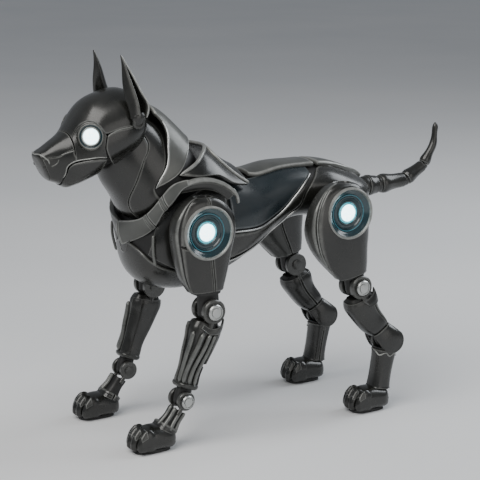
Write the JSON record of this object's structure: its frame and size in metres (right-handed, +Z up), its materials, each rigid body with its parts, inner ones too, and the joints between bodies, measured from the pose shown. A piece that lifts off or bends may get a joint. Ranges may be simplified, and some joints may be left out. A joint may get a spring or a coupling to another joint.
{
  "type": "robot dog toy",
  "caption": "Standing robot dog toy with glossy black shells, round lights at eyes, shoulders and hips, jointed legs, nodding head, moving jaw and ears, and a segmented tail.",
  "frame": {"origin": "on the floor, in the middle plane, halfway between nose tip and tail tip", "axes": "+Z up, nose towards -Y, the dog's left side at +X"},
  "size_m": [0.1078, 0.3266, 0.2619],
  "materials": {
    "gloss_shell": "glossy black moulding",
    "satin_shell": "satin graphite moulding",
    "frame_plastic": "matt filled nylon",
    "metal_trim": "satin steel",
    "light_lens": "translucent white lens, lit",
    "electronics": "circuit board and packs",
    "sole_rubber": "matt rubber"
  },
  "bodies": {
    "torso": {"chassis_frame": "frame_plastic", "chest_shell": "gloss_shell", "battery_door": "gloss_shell", "body_shell_left": "gloss_shell", "body_shell_right": "gloss_shell", "body_screws": "metal_trim", "collar_band": "satin_shell", "withers_cowl": "gloss_shell", "spine_plates": "satin_shell", "servo_motors": "electronics", "battery_pack": "electronics", "circuit_board": "electronics", "speaker": "electronics"},
    "neck": {"neck_shell": "gloss_shell", "nape_shield": "satin_shell", "neck_post": "frame_plastic"},
    "head": {"cranium_shell": "gloss_shell", "muzzle_shell": "gloss_shell", "eye_bezels": "satin_shell", "eye_lenses": "light_lens"},
    "jaw": {"jaw_shell": "gloss_shell"},
    "ear_left": {"ear_left": "gloss_shell"},
    "ear_right": {"ear_right": "gloss_shell"},
    "power_switch": {"power_switch": "gloss_shell"},
    "front_left_upper": {"front_left_upper_arm": "gloss_shell", "front_left_hub": "satin_shell", "front_left_light": "light_lens"},
    "front_left_lower": {"front_left_forearm": "gloss_shell", "front_left_pins": "metal_trim"},
    "front_left_foot": {"front_left_pastern": "gloss_shell", "front_left_paw": "gloss_shell", "front_left_sole": "sole_rubber"},
    "front_right_upper": {"front_right_upper_arm": "gloss_shell", "front_right_hub": "satin_shell", "front_right_light": "light_lens"},
    "front_right_lower": {"front_right_forearm": "gloss_shell", "front_right_pins": "metal_trim"},
    "front_right_foot": {"front_right_pastern": "gloss_shell", "front_right_paw": "gloss_shell", "front_right_sole": "sole_rubber"},
    "hind_left_upper": {"hind_left_thigh": "gloss_shell", "hind_left_hub": "satin_shell", "hind_left_light": "light_lens"},
    "hind_left_lower": {"hind_left_shin": "gloss_shell", "hind_left_pins": "metal_trim"},
    "hind_left_foot": {"hind_left_metatarsus": "gloss_shell", "hind_left_paw": "gloss_shell", "hind_left_sole": "sole_rubber"},
    "hind_right_upper": {"hind_right_thigh": "gloss_shell", "hind_right_hub": "satin_shell", "hind_right_light": "light_lens"},
    "hind_right_lower": {"hind_right_shin": "gloss_shell", "hind_right_pins": "metal_trim"},
    "hind_right_foot": {"hind_right_metatarsus": "gloss_shell", "hind_right_paw": "gloss_shell", "hind_right_sole": "sole_rubber"},
    "tail_1": {"tail_link_1": "gloss_shell"},
    "tail_2": {"tail_link_2": "gloss_shell"},
    "tail_3": {"tail_link_3": "gloss_shell"},
    "tail_4": {"tail_link_4": "gloss_shell"}
  },
  "joints": [
    {"name": "neck_turn", "type": "hinge", "parent": "torso", "child": "neck", "pos_m": [0, -0.075, 0.175], "axis": [0, -0.6884, 0.7254], "range_deg": [-25, 25]},
    {"name": "head_nod", "type": "hinge", "parent": "neck", "child": "head", "pos_m": [0, -0.104, 0.207], "axis": [1, 0, 0], "range_deg": [-15, 12]},
    {"name": "jaw_open", "type": "hinge", "parent": "head", "child": "jaw", "pos_m": [0, -0.121, 0.193], "axis": [1, 0, 0], "range_deg": [0, 12]},
    {"name": "ear_left_tilt", "type": "hinge", "parent": "head", "child": "ear_left", "pos_m": [0.028, -0.1, 0.218], "axis": [1, 0, 0], "range_deg": [-12, 12]},
    {"name": "ear_right_tilt", "type": "hinge", "parent": "head", "child": "ear_right", "pos_m": [-0.028, -0.1, 0.218], "axis": [1, 0, 0], "range_deg": [-12, 12]},
    {"name": "shoulder_left", "type": "hinge", "parent": "torso", "child": "front_left_upper", "pos_m": [0.04225, -0.061, 0.145], "axis": [1, 0, 0], "range_deg": [-35, 30]},
    {"name": "elbow_left", "type": "hinge", "parent": "front_left_upper", "child": "front_left_lower", "pos_m": [0.04225, -0.057, 0.091], "axis": [1, 0, 0], "range_deg": [-22, 20]},
    {"name": "wrist_left", "type": "hinge", "parent": "front_left_lower", "child": "front_left_foot", "pos_m": [0.04225, -0.078, 0.032], "axis": [1, 0, 0], "range_deg": [-22, 30]},
    {"name": "hip_left", "type": "hinge", "parent": "torso", "child": "hind_left_upper", "pos_m": [0.04225, 0.051, 0.147], "axis": [1, 0, 0], "range_deg": [-30, 35]},
    {"name": "knee_left", "type": "hinge", "parent": "hind_left_upper", "child": "hind_left_lower", "pos_m": [0.04225, 0.062, 0.093], "axis": [1, 0, 0], "range_deg": [-20, 20]},
    {"name": "hock_left", "type": "hinge", "parent": "hind_left_lower", "child": "hind_left_foot", "pos_m": [0.04225, 0.089, 0.051], "axis": [1, 0, 0], "range_deg": [-5, 25]},
    {"name": "shoulder_right", "type": "hinge", "parent": "torso", "child": "front_right_upper", "pos_m": [-0.04225, -0.061, 0.145], "axis": [1, 0, 0], "range_deg": [-35, 30]},
    {"name": "elbow_right", "type": "hinge", "parent": "front_right_upper", "child": "front_right_lower", "pos_m": [-0.04225, -0.057, 0.091], "axis": [1, 0, 0], "range_deg": [-22, 20]},
    {"name": "wrist_right", "type": "hinge", "parent": "front_right_lower", "child": "front_right_foot", "pos_m": [-0.04225, -0.078, 0.032], "axis": [1, 0, 0], "range_deg": [-22, 30]},
    {"name": "hip_right", "type": "hinge", "parent": "torso", "child": "hind_right_upper", "pos_m": [-0.04225, 0.051, 0.147], "axis": [1, 0, 0], "range_deg": [-30, 35]},
    {"name": "knee_right", "type": "hinge", "parent": "hind_right_upper", "child": "hind_right_lower", "pos_m": [-0.04225, 0.062, 0.093], "axis": [1, 0, 0], "range_deg": [-20, 20]},
    {"name": "hock_right", "type": "hinge", "parent": "hind_right_lower", "child": "hind_right_foot", "pos_m": [-0.04225, 0.089, 0.051], "axis": [1, 0, 0], "range_deg": [-5, 25]},
    {"name": "tail_wag", "type": "hinge", "parent": "torso", "child": "tail_1", "pos_m": [0, 0.098, 0.1545], "axis": [0, 0, 1], "range_deg": [-20, 20]},
    {"name": "tail_wag_2", "type": "hinge", "parent": "tail_1", "child": "tail_2", "pos_m": [0, 0.11, 0.1545], "axis": [0, -0.0624, 0.9981], "range_deg": [-14, 14]},
    {"name": "tail_wag_3", "type": "hinge", "parent": "tail_2", "child": "tail_3", "pos_m": [0, 0.134, 0.156], "axis": [0, -0.4878, 0.8729], "range_deg": [-14, 14]},
    {"name": "tail_wag_4", "type": "hinge", "parent": "tail_3", "child": "tail_4", "pos_m": [0, 0.151, 0.1655], "axis": [0, -0.8601, 0.5101], "range_deg": [-14, 14]},
    {"name": "switch_slide", "type": "slide", "parent": "torso", "child": "power_switch", "axis": [-1, 0, 0], "range_m": [0, 0.003]}
  ],
  "couplings": [
    {"joint": "tail_wag_2", "follows": "tail_wag", "ratio": 0.7},
    {"joint": "tail_wag_3", "follows": "tail_wag", "ratio": 0.7},
    {"joint": "tail_wag_4", "follows": "tail_wag", "ratio": 0.7}
  ]
}
